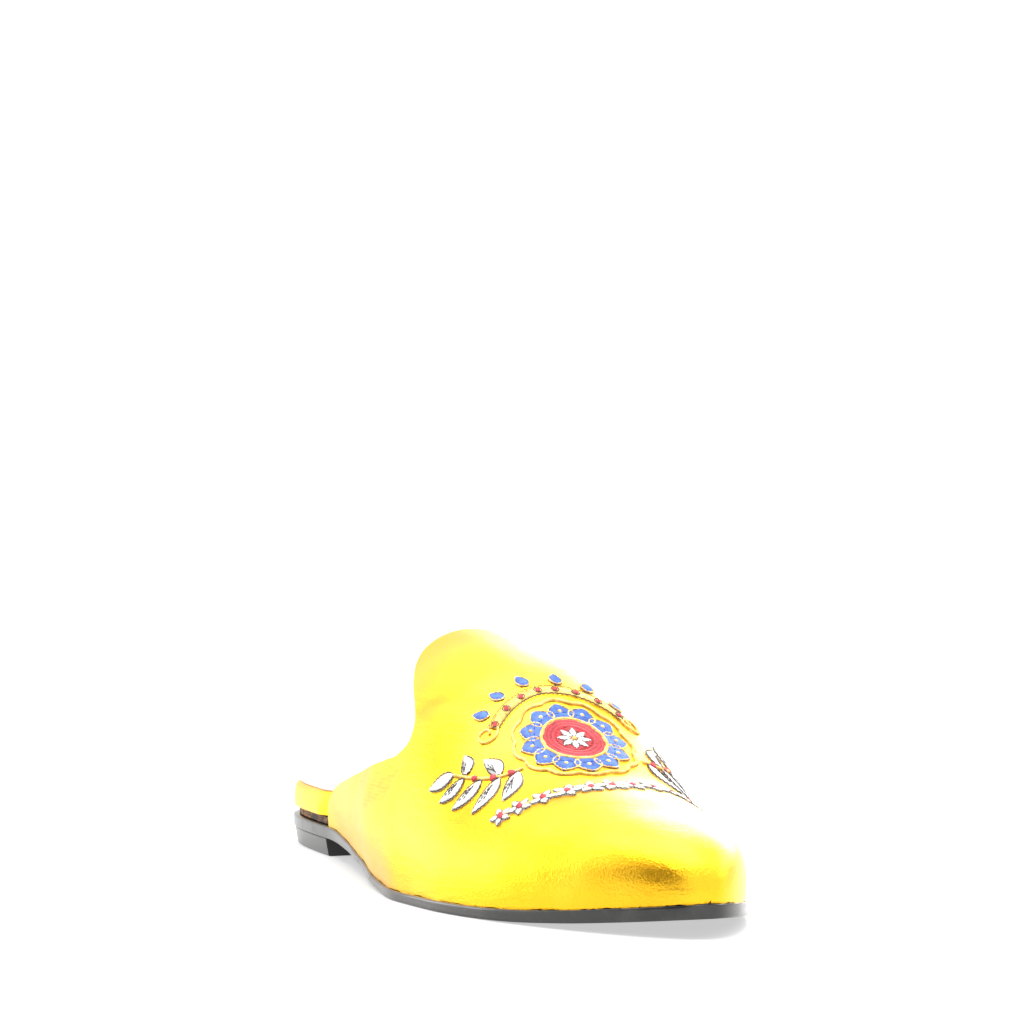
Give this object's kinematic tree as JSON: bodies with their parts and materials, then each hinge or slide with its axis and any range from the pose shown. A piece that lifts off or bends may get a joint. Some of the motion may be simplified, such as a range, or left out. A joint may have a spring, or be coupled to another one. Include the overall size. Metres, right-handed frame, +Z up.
{
  "type": "slipper",
  "caption": "Flat backless slipper for the right foot, with an almond toe, a high tongue, a padded footbed and a low heel.",
  "frame": {"origin": "centre of the slipper's bounding box, on the floor it stands on", "axes": "+Z up, the toe towards -Y and the heel towards +Y, the outer side of the foot towards -X"},
  "size_m": [0.0818, 0.2598, 0.0703],
  "materials": {
    "outsole": "black, slightly glossy edge",
    "heel": "black, satin",
    "insole_board": "dark brown edge, matt",
    "footbed": "gold laminated leather round the rim, pale leather sock on top",
    "upper": "gold laminated leather, glossy, with an embroidered front and a pale lining"
  },
  "bodies": {
    "root": {"outsole": "outsole", "heel": "heel", "insole_board": "insole_board", "footbed": "footbed", "upper": "upper"}
  },
  "joints": []
}
